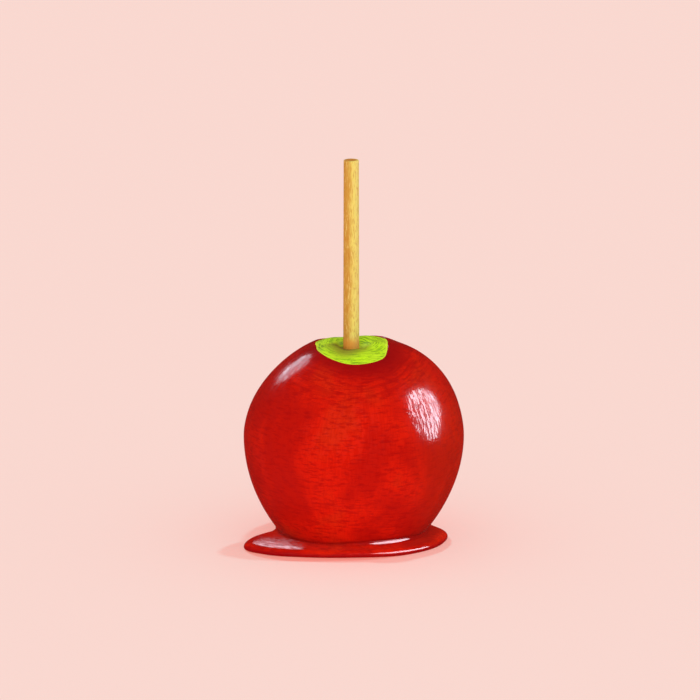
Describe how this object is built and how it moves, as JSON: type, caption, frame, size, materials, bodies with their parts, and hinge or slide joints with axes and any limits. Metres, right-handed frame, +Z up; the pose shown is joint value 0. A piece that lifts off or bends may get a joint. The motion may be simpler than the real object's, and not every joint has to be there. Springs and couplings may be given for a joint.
{
  "type": "toffee apple",
  "caption": "Green apple on a wooden stick, dipped in glossy red toffee that has set in a flat pool it stands on.",
  "frame": {"origin": "on the flat base of the toffee pool, under the middle of the apple's belly", "axes": "+Z up along the stick, +X to the apple's right as seen from the front, -Y to the front"},
  "size_m": [0.0784, 0.0782, 0.1367],
  "materials": {
    "green_skin": "fresh green apple skin, waxy, browner round the stick",
    "red_toffee": "hard red toffee, glossy, slightly translucent",
    "stick_wood": "plain pale golden wood, fine straight grain"
  },
  "bodies": {
    "root": {"apple": "green_skin", "toffee_coat": "red_toffee", "stick": "stick_wood"}
  },
  "joints": []
}
